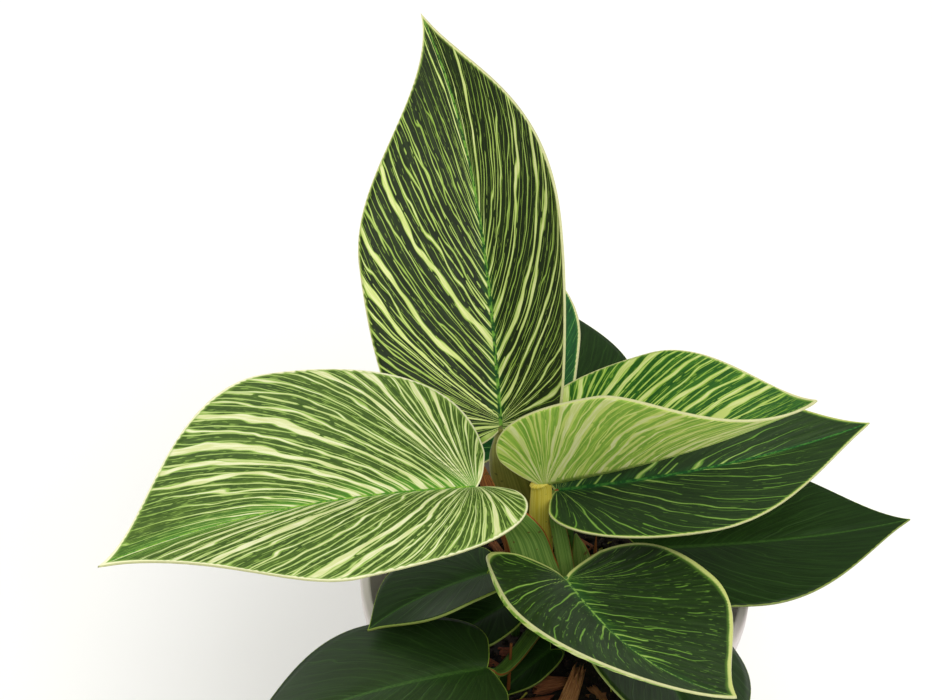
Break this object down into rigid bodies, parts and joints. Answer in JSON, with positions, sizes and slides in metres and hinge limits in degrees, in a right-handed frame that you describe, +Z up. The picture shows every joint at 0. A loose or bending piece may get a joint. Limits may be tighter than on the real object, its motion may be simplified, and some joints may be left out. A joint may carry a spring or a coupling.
{
  "type": "variegated philodendron house plant in a pot",
  "caption": "Compact house plant with striped heart-shaped leaves on short petioles, standing in soil in a plain tapered pot",
  "frame": {"origin": "centre of the pot's flat underside, on the surface it stands on", "axes": "+Z up along the pot's axis; +X to the right and -Y toward the viewer of the picture"},
  "size_m": [0.2295, 0.1922, 0.2407],
  "materials": {
    "pot": "satin",
    "soil": "matte",
    "bark": "matte",
    "petiole": "satin",
    "striped_leaf": "satin",
    "young_leaf": "satin",
    "plain_leaf": "satin"
  },
  "bodies": {
    "root": {"pot": "pot", "soil": "soil", "main_stem": "petiole", "top_leaf_blade": "striped_leaf", "left_leaf_blade": "striped_leaf", "young_leaf_blade": "young_leaf", "right_leaf_blade": "striped_leaf", "front_leaf_blade": "striped_leaf", "teal_leaf_blade": "plain_leaf", "rear_leaf_blade": "plain_leaf", "low_left_leaf_blade": "plain_leaf", "inner_left_leaf_blade": "plain_leaf", "shaded_leaf_blade": "plain_leaf", "small_leaf_blade": "plain_leaf", "low_right_leaf_blade": "plain_leaf", "low_front_leaf_blade": "plain_leaf", "top_leaf_petiole": "petiole", "left_leaf_petiole": "petiole", "young_leaf_petiole": "petiole", "right_leaf_petiole": "petiole", "front_leaf_petiole": "petiole", "teal_leaf_petiole": "petiole", "rear_leaf_petiole": "petiole", "low_left_leaf_petiole": "petiole", "inner_left_leaf_petiole": "petiole", "shaded_leaf_petiole": "petiole", "small_leaf_petiole": "petiole", "low_right_leaf_petiole": "petiole", "low_front_leaf_petiole": "petiole", "pale_bark_chip": "bark", "dark_bark_chip": "bark", "rear_bark_chip": "bark", "side_bark_chip": "bark"}
  },
  "joints": []
}
